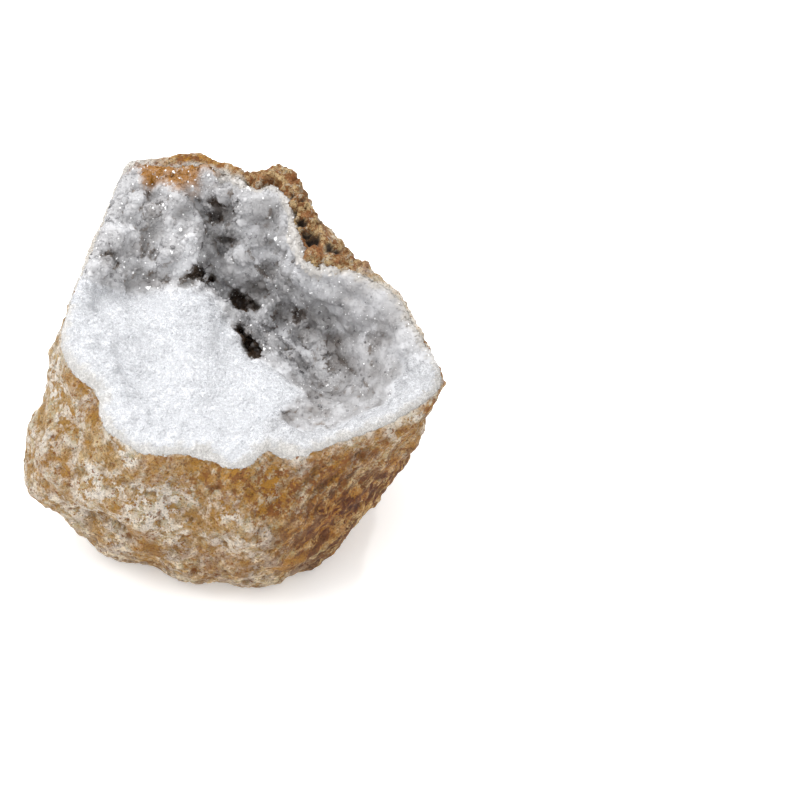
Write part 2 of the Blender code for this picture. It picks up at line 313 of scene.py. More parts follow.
# Zones: by how far out of the broken face, by bearing, or along an axis of the frame
STONE_BACK_REACH = 1.6
STONE_BACK_OUT = -1.2
LINED_OUT = -1.5
EDGE_OUT = (-3.0, -0.5)
POROUS_FROM = (8, 24)
POROUS_TO = (86, 94)
PALE_OUT = (-5, -2)
PALE_FROM = (112, 124)
PALE_TO = (178, 190)
FRINGE_OUT = (-2.0, -1.2)
FRINGE_REACH = (0.7, 1.5)
FOOT_FADE = (0.0, 3.0)
LAYERED_X = (2.0, 22.0)
SHADE_AND_SOIL_X = (0.0, 25.0)
SHADE_AND_SOIL_Z = (8.0, 34.0)
SHADE_AND_SOIL_RISE = 14.0
SHADE_AND_SOIL_LEFT_SHARE = 0.45

# Dips and bumps of the stone against itself smoothed, and how deep a fully coloured one is
CAVITY_SMOOTHING = 8
CAVITY_DEPTH = 0.3

# How deep a pit, hollow or furrow is that begins to get its colour, and has all of it; a hollow's colour is
# painted shade
PIT_SHOWN = (0.15, 0.6)
GRAIN_PIT_SHOWN = (0.3, 1.2)
GRAIN_PIT_SHARE = 0.5
HOLLOW_SHOWN = (0.3, 1.4)
FURROW_SHOWN = (0.45, 0.95)

# Deep pits in the porous edge: a place, how wide it is and how deep
EDGE_PITS = [
    (13, 19, 66, 1.2, 1.8), (14.5, 17, 65, 1.4, 2.2), (16, 14.5, 64, 1.5, 2.4), (17.5, 12.5, 63, 1.6, 2.4),
    (19, 11.5, 62, 1.5, 2.2), (21, 10.5, 63, 1.3, 2.0), (23, 10, 62.5, 1.1, 1.6),
]

# Iron stains on the stone: a place, how wide it is and how strong
STAINS = [
    (-18, 30, 71, 4.5, 1.0), (-11, 31, 72, 4.5, 1.0), (-25, 31, 71, 3.0, 0.4), (3, -38, 36, 7.0, 0.9),
    (-6, -37, 36, 7.0, 0.7), (-14, -36, 37, 6.0, 0.5), (-28, -23, 43, 5.0, 0.6), (-33, -16, 46, 4.0, 0.5),
    (10, -37, 32, 8.0, 1.0), (22, -34, 34, 8.0, 0.9), (31, -30, 38, 5.0, 0.7), (38, -27, 39, 4.0, 0.8),
    (44, -22, 44, 4.0, 0.9), (45, -17, 47, 4.0, 0.9), (18, -38, 24, 8.0, 0.7), (-37, -25, 28, 7.0, 0.5),
    (-20, -38, 18, 5.0, 0.5), (22, 10, 62, 6.0, 0.6), (28, -30, 26, 7.0, 0.7), (24, -35, 22, 9.0, 0.6),
    (14, -40, 16, 8.0, 0.4), (-4, -42, 12, 8.0, 0.5), (34, -24, 30, 8.0, 0.8), (-13, 30, 71, 6.0, 1.0),
    (-20, 30, 70, 4.5, 1.0), (-15, 29, 69, 3.5, 1.0), (-6, 31, 71, 4.0, 0.9), (0, 31, 71, 3.0, 0.8),
    (0, 40, 50, 12.0, 0.6), (-35, 15, 45, 10.0, 0.5), (30, 18, 40, 12.0, 0.6), (-20, 35, 25, 12.0, 0.5),
]
STAIN_FADE = (0.45, 1.25)


def stains_at(points):
    """How stained each point is: the listed places, with ragged edges."""
    ragged = wavered(points, *STAIN_WAVER, seed=21.0)
    stain = np.zeros(len(points))
    for *place, width, strength in STAINS:
        away = np.linalg.norm(ragged - place, axis=1)
        near, far = (width * share for share in STAIN_FADE)
        stain = np.maximum(stain, strength * fading(near, far, away))
    return stain


def pits_at(points):
    patch = patches_at(points, *PIT_PATCHES, seed=7.0)
    return PIT_DEPTH * fading(*PIT_RADII, cells_at(points, PIT_WIDTH, seed=2.0)) * patch


def ridges_at(points):
    """The stone's bent layers: 1 on their ridges and 0 in the furrows between."""
    bend = sum(depth * noise_at(points, width, seed=seed) for depth, width, seed in STRATA_BENDS)
    layers = (points @ STRATA_AXIS + bend) / STRATA_SPACING
    return np.abs((layers % 1.0) * 2 - 1) ** STRATA_SHARPNESS


def edge_pits_at(points, porous):
    """How deep the porous edge's random pits and the listed ones are."""
    patch = patches_at(points, *EDGE_PIT_PATCHES, seed=11.0)
    away = cells_at(points, EDGE_PIT_WIDTH, seed=9.0)
    pits = EDGE_PIT_DEPTH * porous * patch * fading(*EDGE_PIT_RADII, away)
    ragged = wavered(points, *EDGE_PIT_WAVER, seed=17.0)
    for *place, width, depth in EDGE_PITS:
        away = np.linalg.norm(ragged - place, axis=1) / width
        pits = np.maximum(pits, depth * fading(*LISTED_PIT_RADII, away))
    return pits


def shade_and_soil_at(points):
    """How much painted shade and soil the stone gets: most near its foot, where the floor shades it, and
    higher up on the right, its shaded side, where it is also more orange-brown.
    """
    toward_right = smoothstep(*SHADE_AND_SOIL_X, points[:, 0])
    height = points[:, 2] + uneven(points, *SHADE_AND_SOIL_NOISE, seed=29.0) - SHADE_AND_SOIL_RISE * toward_right
    return fading(*SHADE_AND_SOIL_Z, height) * (SHADE_AND_SOIL_LEFT_SHARE + (1 - SHADE_AND_SOIL_LEFT_SHARE) * toward_right)


def stone_mesh():
    """The rind's CAD solid with fine relief: lumps, grain, pits, layers and a porous broken edge."""
    mesh = one_skin("stone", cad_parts["rind"].data.copy(), STONE_VOXEL, STONE_SMOOTHING)
    crust = tree_of(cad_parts["crystal_crust"].data)
    points, normals = mesh_points(mesh), mesh_normals(mesh)
    right, up, out = in_face(points)
    direction = bearing(right, up)
    hidden = is_within(crust, points + normals, STONE_BACK_REACH) & (out < STONE_BACK_OUT)
    edge = smoothstep(*EDGE_OUT, out)
    porous = edge * smoothstep(*POROUS_FROM, direction) * fading(*POROUS_TO, direction)
    layered = smoothstep(*LAYERED_X, points[:, 0]) * (1 - edge)
    layered *= patches_at(points, *LAYERED_PATCHES, seed=15.0)

    lumps = LUMP * fractal_at(points, LUMP_WIDTH, 3) * (1 - LUMP_EDGE_LOSS * edge)
    grain = GRAIN * fractal_at(points, GRAIN_WIDTH, 3, seed=5.0)
    ridges = ridges_at(points)
    strata = STRATA_DEPTH * layered * (ridges - STRATA_MIDDLE)
    edge_grain = EDGE_GRAIN * porous * blocks_at(points, EDGE_GRAIN_WIDTH, seed=13.0)
    pits = pits_at(points)
    edge_pits = edge_pits_at(points, porous)
    relief = lumps + grain + strata + edge_grain - pits - edge_pits
    rise = smoothstep(*FOOT_FADE, points[:, 2]) * ~hidden * relief
    wall = distance_to(crust, points)
    deepest = np.maximum(wall - CRUST_SWELL - STONE_CLEARANCE, 0.0)
    rise = np.where(out < LINED_OUT, np.maximum(rise, -deepest), rise)
    moved = points + normals * rise[:, None]
    moved[:, 2] = np.maximum(moved[:, 2], 0.0)
    set_points(mesh, moved)

    even = smoothed(mesh, moved, np.full(len(moved), SMOOTHING_SHARE), CAVITY_SMOOTHING)
    cavity = ((even - moved) * mesh_normals(mesh)).sum(axis=1)
    pale = smoothstep(*PALE_OUT, out) * smoothstep(*PALE_FROM, direction) * fading(*PALE_TO, direction)
    ragged_wall = wall + uneven(points, *FRINGE_NOISE, seed=27.0)
    fringe = smoothstep(*FRINGE_OUT, out) * fading(*FRINGE_REACH, ragged_wall)
    grain_pits = smoothstep(*GRAIN_PIT_SHOWN, -grain - edge_grain)
    store(mesh, {
        "cavity": smoothstep(0.0, CAVITY_DEPTH, cavity),
        "bumps": smoothstep(0.0, CAVITY_DEPTH, -cavity),
        "hollow": smoothstep(*HOLLOW_SHOWN, edge_pits),
        "pit": np.minimum(smoothstep(*PIT_SHOWN, pits) + GRAIN_PIT_SHARE * grain_pits, 1.0),
        "porous": porous,
        "layer": layered * smoothstep(*FURROW_SHOWN, 1 - ridges),
        "pale": np.maximum(pale, fringe * (1 - porous)),
        "stain": stains_at(moved),
        "shade_and_soil": shade_and_soil_at(points),
    })
    return mesh


# The quartz

CRUST_SMOOTHING = 9
WELD_REACH = 0.01

# The sugary mound's area in the broken face, right and up, and how wide its ragged border is
MOUND_CREST = [
    (-33, 6), (-21, 8), (-8, 8), (-4, 5), (-2, -1), (2, -7), (10, -11), (15, -17), (11, -21), (8, -30),
    (6, -40),
]
MOUND_OUTER = [(-10, -60), (-60, -60), (-60, 6)]
MOUND_BLEND = 1.4
MOUND_NOISE = (4.0, 0.5 * MOUND_BLEND)
MOUND_SMOOTHING = 20
INNER_SMOOTHING = 0.6
WALL_SMOOTHING_SHARE = 0.3

# The sugary band along the front rim: how far out of the broken face, its bearings and how sugary it is
RIM_SUGAR_OUT = (-4.5, -2.5)
RIM_SUGAR_FROM = (-100, -85)
RIM_SUGAR_TO = (-22, -12)
RIM_SHARE = 0.65

# Below this depth the hollow is filled up, by this share of what lies deeper
SHALLOW = 17.0
FILLED_SHARE = 0.6

# Zones: by how far out of the broken face, by right and up in it, or by bearing
CRUST_BACK_STEP = 0.8
CRUST_BACK_REACH = 1.7
CRUST_BACK_OUT = -1.5
INNER_OUT = (-0.5, -3.0)
GENTLE_RIGHT = (16, 26)
GENTLE_UP = (-6, -14)
RIM_DEPTH = (0.0, 3.0)
RIM_FILL_OUT = (-2.5, -0.5)
TOP_FROM = (50, 60)
TOP_TO = (108, 118)
CREAM_REACH = (0.8, 1.7)
UNCREAMED_FROM = (112, 124)
UNCREAMED_TO = (-178, -190)
STAINED_OUT = (-9.0, -4.0)
STAINED_UP = (20.0, 28.0)

# The wall that chunks grow on: how unsugary, deep and far from the stone it is
CHUNK_SUGAR = 0.3
CHUNK_OUT = -2.0
CHUNK_FROM_STONE = 2.6

# Relief of the quartz's skin: heights, widths, and the share that gentle parts and top lose or the rim has
KNOLL = 0.4
KNOLL_WIDTH = 2.8
KNOLL_GENTLE_LOSS = 0.5
RIPPLE = 0.45
RIPPLE_WIDTH = 7.0
RIM_RELIEF_SHARE = 0.3
RIM_FILL = 1.0
TOP_FILL_LOSS = 0.8

# How the openness of a place is measured, and how far the places around it reach for its creases; the
# quartz's colour takes painted light from it where it is half shut in, deep in the hollow, and painted shade
# where it is almost shut
SKY_SEED = 17
SKY_RAYS = 28
SKY_REACH = 12.0
SKY_START = 0.4
SKY_LIFT = 1.05
SKY_FADE = 1.5
CREASE_SMOOTHING = 0.6
CREASE_REACH = 12
CREASE_STEP = (0.02, 0.16)

# How ragged the cream fringe and the chunks' cloudiness are: the noise's width and reach
CREAM_NOISE = (2.2, 0.9)
TONE_WAVER = (1.5, 0.4)

# Clumps that stand out of the hollow's wall: a place, how wide, how high and how cloudy
CLUMPS = [
    (-6.6, 29.1, 68.5, 3.4, 2.0, 0.6), (-23.6, 22.5, 63.9, 3.2, 1.8, 0.6),
    (-14.5, 28.1, 67.2, 2.8, 1.8, 0.7), (-11.0, 24.0, 60.7, 2.8, 2.8, 1.2),
    (-11.4, 21.3, 59.4, 2.8, 2.8, 1.3), (-11.8, 18.7, 58.0, 3.0, 2.8, 1.4),
    (-12.3, 16.8, 55.8, 3.0, 2.6, 1.4), (-12.9, 15.3, 53.4, 3.0, 2.4, 1.3),
    (-16.5, 18.1, 57.0, 3.6, 1.8, 0.7), (-7.4, 26.3, 54.8, 3.7, 2.6, 0.0),
    (-4.8, 28.5, 44.9, 4.4, 5.0, 1.4), (-0.3, 24.7, 47.5, 4.8, 5.0, 1.7), (2.7, 22.9, 48.8, 4.4, 4.0, 1.5),
    (-24.1, 17.9, 60.6, 3.6, 2.0, 0.6), (-28.1, 8.8, 55.5, 3.6, 1.8, 0.5), (6.3, 23.5, 65.9, 4.2, 2.4, 0.6),
    (8.4, 22.5, 47.0, 4.2, 3.0, 0.7), (2.3, 26.4, 32.0, 5.0, 5.5, 1.2), (7.3, 26.5, 34.2, 4.0, 4.0, 1.0),
    (20.7, 9.4, 43.1, 3.4, 2.8, 0.7), (11.7, 26.1, 24.2, 5.0, 3.5, 0.4), (15.4, 10.9, 53.7, 4.0, 1.8, 0.7),
    (27.9, 2.3, 51.6, 3.6, 1.6, 0.8), (25.5, 2.4, 40.4, 3.6, 2.0, 0.6),
]

# Gaps that sink into it: a place, how wide, how deep and how dark its painted shade is; the wide, shallow
# ones only darken the quartz a little, as smoky patches
GAPS = [
    (-6.3, 29.0, 62.6, 1.5, 3.0, 0.9), (-5.1, 29.5, 59.5, 3.0, 3.5, 0.75),
    (-2.8, 26.9, 61.2, 3.2, 3.0, 0.5), (-2.7, 27.7, 53.0, 2.4, 3.0, 0.75),
    (-7.4, 26.3, 54.8, 4.2, 0.5, 0.3), (-9.7, 17.2, 51.0, 1.7, 5.0, 0.95),
    (-8.2, 18.2, 49.6, 1.2, 5.0, 0.9), (-10.9, 14.2, 50.3, 2.4, 2.0, 0.3), (6.8, 23.9, 47.3, 2.8, 2.0, 0.5),
    (3.7, 23.7, 41.9, 3.4, 2.0, 0.6), (0.0, 25.5, 36.4, 3.0, 6.0, 0.95), (2.2, 25.5, 35.0, 2.2, 5.0, 0.6),
    (-1.8, 24.3, 33.5, 2.0, 6.0, 0.9), (0.2, 6.6, 41.8, 2.0, 7.0, 1.0), (0.6, 5.6, 41.0, 2.6, 8.0, 1.0),
    (2.0, 4.0, 40.4, 2.6, 8.0, 1.0), (3.8, 2.0, 40.2, 2.2, 7.0, 0.9), (8.5, 25.5, 33.5, 3.4, 2.0, 0.6),
    (11.0, 22.0, 36.0, 3.4, 2.0, 0.4), (14.1, 18.2, 39.3, 2.4, 4.0, 0.8), (17.0, 12.0, 41.5, 3.6, 1.5, 0.4),
    (22.2, 7.7, 38.7, 3.0, 2.5, 0.65), (22.4, 6.6, 35.0, 3.6, 2.5, 0.55), (19.5, 9.0, 37.5, 4.0, 1.2, 0.4),
    (31.9, -2.4, 46.5, 2.6, 1.4, 0.4), (31.9, -7.4, 42.8, 2.2, 0.8, 0.25),
    (12.3, -18.4, 37.6, 2.2, 1.6, 0.45), (-18.5, 23.2, 64.2, 2.4, 1.2, 0.4),
    (-27.4, 13.7, 57.2, 2.4, 1.2, 0.45), (-18.2, 13.3, 51.8, 2.6, 1.2, 0.4),
    (-30.9, 2.7, 55.1, 2.2, 1.0, 0.35), (-22.3, 17.4, 57.2, 2.6, 1.2, 0.35),
    (16.5, 14.0, 37.5, 4.0, 1.2, 0.45), (26.0, 2.0, 36.0, 3.4, 1.0, 0.35),
    (19.0, -13.0, 37.5, 8.0, 0.2, 0.15), (28.0, -6.0, 42.0, 8.0, 0.2, 0.12),
    (6.0, 24.0, 60.0, 6.5, 0.2, 0.18),
]
GAP_REACH = 11.0
GAP_FADE = 1.3
GAP_WAVERS = [(3.0, 1.6, 81.0), (0.9, 0.5, 83.0)]
GAP_ROUNDING = 3
GAP_DARKNESS = (0.5, 1.0)
GAP_DARK_CORE = 0.7
GAP_SUGAR = 0.4
GAP_FACING = -0.3

# Random chunks on the wall between the clumps; a chunk's height is in its widths
CHUNK_SEED = 91
CHUNK_COUNT = 500
CHUNK_TRIES = 30
CHUNK_WIDTH = 1.9
CHUNK_SPREAD = 0.35
CHUNK_SPACING = 2.1
CHUNK_KEEPS_OFF = 0.75
CHUNK_HEIGHTS = (0.6, 1.1)
CHUNK_LEAN = 0.3
CHUNK_SUNK_SHARE = 0.3
GENTLE_WIDTH_LOSS = 0.45
GENTLE_HEIGHT_LOSS = 0.4

# A chunk is a ball cut by flats; a big one has more of them
CHUNK_SHAPE_SEED = 93
CHUNK_PLANES = 9
BIG_CHUNK = 3
BIG_CHUNK_PLANES = 27
FLAT_REACH = (0.7, 1.0)
CORNER_REACH = 1.15
BALL_FINENESS = 3

CHUNK_SMOOTHING = 2
TONE_REACH = (2.0, 4.5)
MIDDLING_TONE = 0.5
TONE_SMOOTHING = 2


def polygon_distance(x, y, corners):
    """Distance to a line of corners, in the plane."""
    place = np.stack([x, y], axis=1)
    found = np.full(len(x), 1e9)
    for start, end in zip(np.array(corners[:-1], float), np.array(corners[1:], float)):
        along = end - start
        t = np.clip((place - start) @ along / (along @ along), 0, 1)
        found = np.minimum(found, np.linalg.norm(place - start - t[:, None] * along, axis=1))
    return found


def inside_polygon(x, y, corners):
    inside = np.zeros(len(x), bool)
    for (x0, y0), (x1, y1) in zip(corners, corners[1:] + corners[:1]):
        if y0 != y1:
            inside ^= ((y0 > y) != (y1 > y)) & (x < (x1 - x0) * (y - y0) / (y1 - y0) + x0)
    return inside


def sugar_at(points):
    """1 on the sugary mound, 0 on the walls, and between on the front rim."""
    right, up, out = in_face(points)
    ragged = uneven(points, *MOUND_NOISE, seed=31.0)
    away = polygon_distance(right, up, MOUND_CREST)
    inside = inside_polygon(right, up, MOUND_CREST + MOUND_OUTER)
    mound = smoothstep(-MOUND_BLEND, MOUND_BLEND, np.where(inside, away, -away) + ragged)
    direction = bearing(right, up)
    front = smoothstep(*RIM_SUGAR_FROM, direction) * fading(*RIM_SUGAR_TO, direction)
    rim = smoothstep(*RIM_SUGAR_OUT, out + ragged)
    return np.maximum(mound, RIM_SHARE * front * rim)


def filled_crust(rind):
    """The crust's CAD solid in an even skin, swelled, smoothed and with the hollow's far part filled up.

    Gives the mesh, its points before the filling, which of them lie at the quartz's back, and their sugar.
    """
    swelling = [
        ("WELD", {"merge_threshold": WELD_REACH * MM}),
        ("DISPLACE", {"strength": CRUST_SWELL * MM, "mid_level": 0.0}),
    ]
    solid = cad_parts["crystal_crust"].data.copy()
    mesh = one_skin("crust", solid, CRUST_VOXEL, CRUST_SMOOTHING, before=swelling)
    points, normals = mesh_points(mesh), mesh_normals(mesh)
    _, _, out = in_face(points)
    hidden = is_within(rind, points + normals * CRUST_BACK_STEP, CRUST_BACK_REACH) & (out < CRUST_BACK_OUT)
    sugar = sugar_at(points)
    inner = smoothstep(*INNER_OUT, out) * ~hidden
    share = INNER_SMOOTHING * inner * (WALL_SMOOTHING_SHARE + (1 - WALL_SMOOTHING_SHARE) * sugar)
    places = smoothed(mesh, points, share, MOUND_SMOOTHING)
    depth = np.maximum(-SHALLOW - in_face(places)[2], 0.0) * ~hidden
    set_points(mesh, places + CAMERA_BACK * (FILLED_SHARE * depth)[:, None])
    return mesh, places, hidden, sugar


def chunks_on(points, normals, places, wall, gentle):
    """The listed clumps, found by their places before the filling, and random chunks over the wall's points.

    Each is a centre, an axis, a width, a height and a cloudiness.
    """
    found = nearest_in(places, np.array(CLUMPS)[:, :3])
    chunks = [(points[k], normals[k], *shape) for k, (_, _, _, *shape) in zip(found, CLUMPS)]
    dice = np.random.default_rng(CHUNK_SEED)
    taken = np.array([chunk[0] for chunk in chunks])
    room = np.array([max(CHUNK_KEEPS_OFF * width, CHUNK_SPACING) for *_, width, _, _ in chunks])
    for k in dice.permutation(np.flatnonzero(wall))[:CHUNK_TRIES * CHUNK_COUNT]:
        if (np.linalg.norm(taken - points[k], axis=1) < room).any():
            continue
        width = CHUNK_WIDTH * math.exp(dice.normal() * CHUNK_SPREAD) * (1 - GENTLE_WIDTH_LOSS * gentle[k])
        height = width * dice.uniform(*CHUNK_HEIGHTS) * (1 - GENTLE_HEIGHT_LOSS * gentle[k])
        axis = normals[k] + dice.normal(size=3) * CHUNK_LEAN
        centre = points[k] - normals[k] * CHUNK_SUNK_SHARE * height
        chunks.append((centre, axis / np.linalg.norm(axis), width, height, dice.random()))
        taken = np.concatenate([taken, points[k][None]])
        room = np.append(room, CHUNK_SPACING)
        if len(chunks) == CHUNK_COUNT:
            break
    return chunks


def chunk_shape(ball, planes, dice):
    """A ball's points moved onto random flats, so that it becomes a blunt block about as wide."""
    facing = dice.normal(size=(planes, 3))
    facing /= np.linalg.norm(facing, axis=1, keepdims=True)
    reach = dice.uniform(*FLAT_REACH, planes)
    along = np.maximum(ball @ facing.T, 0.01)
    return ball * np.minimum((reach / along).min(axis=1), CORNER_REACH)[:, None]


def with_chunks(mesh, chunks, seed):
    """The mesh and the chunks in one skin."""
    dice = np.random.default_rng(seed)
    sphere = bmesh.new()
    bmesh.ops.create_icosphere(sphere, subdivisions=BALL_FINENESS, radius=1.0)
    ball = np.array([v.co[:] for v in sphere.verts])
    faces = np.array([[v.index for v in face.verts] for face in sphere.faces])
    sphere.free()
    points, triangles = [mesh_points(mesh)], [mesh_triangles(mesh)]
    total = len(points[0])
    for centre, axis, width, height, _ in chunks:
        planes = CHUNK_PLANES if width < BIG_CHUNK else BIG_CHUNK_PLANES
        shape = chunk_shape(ball, planes, dice) * width
        shape += axis * ((shape @ axis) * (height / width - 1))[:, None]
        points.append(centre + shape)
        triangles.append(faces + total)
        total += len(ball)
    joined = bpy.data.meshes.new("chunks")
    joined.from_pydata((np.concatenate(points) * MM).tolist(), [], np.concatenate(triangles).tolist())
    return one_skin("crust", joined, CRUST_VOXEL, CHUNK_SMOOTHING)


def chunk_tone(mesh, points, hidden, chunks):
    """How cloudy each point is: as its chunk, and middling away from all chunks."""
    middles = np.array([chunk[0] for chunk in chunks])
    own = nearest_in(middles, wavered(points, *TONE_WAVER, seed=97.0))
    far = smoothstep(*TONE_REACH, np.linalg.norm(points - middles[own], axis=1))
    tone = np.array([chunk[4] for chunk in chunks])[own] * (1 - far) + MIDDLING_TONE * far
    return smoothed(mesh, tone[:, None], SMOOTHING_SHARE * ~hidden, TONE_SMOOTHING)[:, 0]


def skin_rise(points, hidden, sugar, gentle):
    """How far the skin rises: knolls on the walls, ripples in the whole hollow and a fill along the rim."""
    right, up, out = in_face(points)
    direction = bearing(right, up)
    ripple = RIPPLE * fractal_at(points, RIPPLE_WIDTH, 2, seed=45.0)
    knolls = KNOLL * blocks_at(points, KNOLL_WIDTH, seed=43.0)
    rise = ~hidden * ((1 - sugar) * (1 - KNOLL_GENTLE_LOSS * gentle) * knolls + ripple)
    inside_rim = RIM_RELIEF_SHARE + (1 - RIM_RELIEF_SHARE) * smoothstep(*RIM_DEPTH, -out)
    top = smoothstep(*TOP_FROM, direction) * fading(*TOP_TO, direction)
    fill = RIM_FILL * smoothstep(*RIM_FILL_OUT, out) * (1 - TOP_FILL_LOSS * top)
    return rise * inside_rim + fill


def with_gaps(points, shown, rind):
    """The points once the listed gaps have sunk into the shown ones along the view, and how much painted
    shade each gets.
    """
    ragged = points
    for width, reach, seed in GAP_WAVERS:
        ragged = wavered(ragged, width, reach, seed)
    gap_shade = np.zeros(len(points))
    drop = np.zeros(len(points))
    for *place, width, deepest, darkness in GAPS:
        off = ragged - place
        along = off @ CAMERA_BACK
        away = np.linalg.norm(off - along[:, None] * CAMERA_BACK, axis=1) / width
        near = np.flatnonzero(shown & (away < GAP_FADE) & (np.abs(along) < GAP_REACH))
        drop[near] = np.maximum(drop[near], deepest * (1 - np.minimum(away[near], 1) ** GAP_ROUNDING))
        core = GAP_DARK_CORE * smoothstep(*GAP_DARKNESS, darkness)
        gap_shade[near] = np.maximum(gap_shade[near], darkness * fading(core, GAP_FADE, away[near]))
    sunk = np.flatnonzero(drop > 0)
    room = distance_to(rind, points[sunk]) - STONE_CLEARANCE
    drop[sunk] = np.clip(drop[sunk], 0.0, np.maximum(room, 0.0))
    return points - CAMERA_BACK * drop[:, None], gap_shade


def openness(points, normals, tree):
    """The share of directions above each point in which nothing is near: 1 in the open, 0 deep in a gap."""
    dice = np.random.default_rng(SKY_SEED)
    rays = dice.normal(size=(SKY_RAYS, 3))
    rays /= np.linalg.norm(rays, axis=1, keepdims=True)
    seen = np.zeros(len(points))
    for k, (point, normal) in enumerate(zip(points, normals)):
        start = Vector(point + SKY_START * normal)
        facing = rays + normal * SKY_LIFT
        facing /= np.linalg.norm(facing, axis=1, keepdims=True)
        for ray in facing:
            hit = tree.ray_cast(start, Vector(ray), SKY_REACH)[3]
            seen[k] += 1.0 if hit is None else (hit / SKY_REACH) ** SKY_FADE
    return seen / SKY_RAYS


def crust_mesh():
    """The quartz's skin, with its chunks and gaps, which points are shown, and their marks."""
    rind = tree_of(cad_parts["rind"].data)
    filled, places, hidden, sugar = filled_crust(rind)
    right, up, out = in_face(places)
    gentle = np.maximum(smoothstep(*GENTLE_RIGHT, right), smoothstep(*GENTLE_UP, up))
    off_stone = distance_to(rind, places) > CHUNK_FROM_STONE
    wall = ~hidden & (sugar < CHUNK_SUGAR) & (out < CHUNK_OUT) & off_stone
    before = mesh_points(filled)
    chunks = chunks_on(before, mesh_normals(filled), places, wall, gentle)
    mesh = with_chunks(filled, chunks, CHUNK_SHAPE_SEED)
    points, normals = mesh_points(mesh), mesh_normals(mesh)
    near = nearest_in(before, points)
    hidden, sugar, gentle = (values[near] for values in (hidden, sugar, gentle))
    tone = chunk_tone(mesh, points, hidden, chunks)
    right, up, out = in_face(points)
    direction = bearing(right, up)
    points = points + normals * skin_rise(points, hidden, sugar, gentle)[:, None]
    open_wall = ~hidden & (sugar < GAP_SUGAR) & (normals @ CAMERA_BACK > GAP_FACING)
    points, gap_shade = with_gaps(points, open_wall, rind)
    set_points(mesh, points)

    front = np.flatnonzero(~hidden)
    sky = np.ones(len(points))
    sky[front] = openness(points[front], mesh_normals(mesh)[front], tree_of(mesh))
    around = smoothed(mesh, sky[:, None], CREASE_SMOOTHING * ~hidden, CREASE_REACH)[:, 0]
    ragged_stone = distance_to(rind, points) + uneven(points, *CREAM_NOISE, seed=87.0)
    left = smoothstep(*UNCREAMED_FROM, direction) + smoothstep(*UNCREAMED_TO, direction)
    marks = {
        "sky": sky,
        "sugar": sugar,
        "gentle": gentle,
        # Painted shade in the creases, where a place is less open than the places around it
        "crease_shade": smoothstep(*CREASE_STEP, around - sky) * (1 - sugar),
        "cream": fading(*CREAM_REACH, ragged_stone) * (1 - left) * ~hidden,
        "stain": stains_at(points) * smoothstep(*STAINED_OUT, out) * smoothstep(*STAINED_UP, up),
        "gap": gap_shade,
        "tone": tone,
    }
    store(mesh, marks)
    return mesh, ~hidden, marks


# The crystals on the quartz's skin

CRYSTAL_SIDES = 6
CRYSTAL_TILT = 0.4
CRYSTAL_SUNK_SHARE = 0.3
SIDE_UNEVENNESS = 0.25
SHAFT_HEIGHTS = (0.6, 1.4)
POINT_HEIGHTS = (0.35, 0.6)
POINT_LEAN = 0.2
GENTLE_SHRINKING = 0.4


def crystals_mesh(name, places, axes, sizes, shaft, marks, seed):
    """Six-sided pointed crystals joined in one mesh, each standing on its place along its axis.

    The shaft is in widths; without one only the points stick out. Each mark has one value for each crystal.
    """
    dice = np.random.default_rng(seed)
    count = len(places)
    helper = np.where(np.abs(axes[:, 2:3]) < 0.9, [[0.0, 0.0, 1.0]], [[1.0, 0.0, 0.0]])
    side = np.cross(axes, helper)
    side /= np.linalg.norm(side, axis=1, keepdims=True)
    other = np.cross(axes, side)
    turn = dice.random(count)[:, None] * math.tau + np.arange(CRYSTAL_SIDES) * math.tau / CRYSTAL_SIDES
    sides = 1.0 + dice.uniform(-SIDE_UNEVENNESS, SIDE_UNEVENNESS, (count, CRYSTAL_SIDES))
    radius = sizes[:, None] / 2 * sides
    aside, along = (np.cos(turn) * radius)[:, :, None], (np.sin(turn) * radius)[:, :, None]
    ring = aside * side[:, None] + along * other[:, None]
    foot = places - axes * (sizes * CRYSTAL_SUNK_SHARE)[:, None]
    top = shaft * sizes * dice.uniform(*SHAFT_HEIGHTS, count)
    tip = top + sizes * dice.uniform(*POINT_HEIGHTS, count)
    lean = dice.uniform(-POINT_LEAN, POINT_LEAN, (count, 2)) * sizes[:, None]
    point = places + axes * tip[:, None] + side * lean[:, :1] + other * lean[:, 1:]
    rings = [foot[:, None] + ring]
    if shaft > 0:
        rings.append(places[:, None] + axes[:, None] * top[:, None, None] + ring)
    verts = np.concatenate(rings + [point[:, None]], axis=1)
    each = verts.shape[1]
    corners, totals = crystal_faces(each, shaft > 0)
    loops = (corners[None] + each * np.arange(count)[:, None]).ravel()
    totals = np.tile(totals, count)
    mesh = bpy.data.meshes.new(name)
    mesh.vertices.add(count * each)
    mesh.vertices.foreach_set("co", (verts * MM).ravel())
    mesh.loops.add(len(loops))
    mesh.loops.foreach_set("vertex_index", loops)
    mesh.polygons.add(len(totals))
    mesh.polygons.foreach_set("loop_start", np.concatenate([[0], np.cumsum(totals)[:-1]]))
    mesh.polygons.foreach_set("loop_total", totals)
    mesh.update(calc_edges=True)
    marks = {**marks, "tint": dice.random(count)}
    store(mesh, {mark: np.repeat(values, each) for mark, values in marks.items()})
    return mesh


def crystal_faces(each, has_shaft):
    """One crystal's face corners and how many each face has; its tip is the last of its vertices."""
    around = np.arange(CRYSTAL_SIDES)
    after = (around + 1) % CRYSTAL_SIDES
    tip = each - 1
    below = tip - CRYSTAL_SIDES
    tris = np.stack([around + below, after + below, np.full(CRYSTAL_SIDES, tip)], axis=1)
    if not has_shaft:
        return tris.ravel(), np.array([3] * CRYSTAL_SIDES)
    quads = np.stack([around, after, after + CRYSTAL_SIDES, around + CRYSTAL_SIDES], axis=1)
    return np.concatenate([quads.ravel(), tris.ravel()]), np.array([4] * CRYSTAL_SIDES + [3] * CRYSTAL_SIDES)


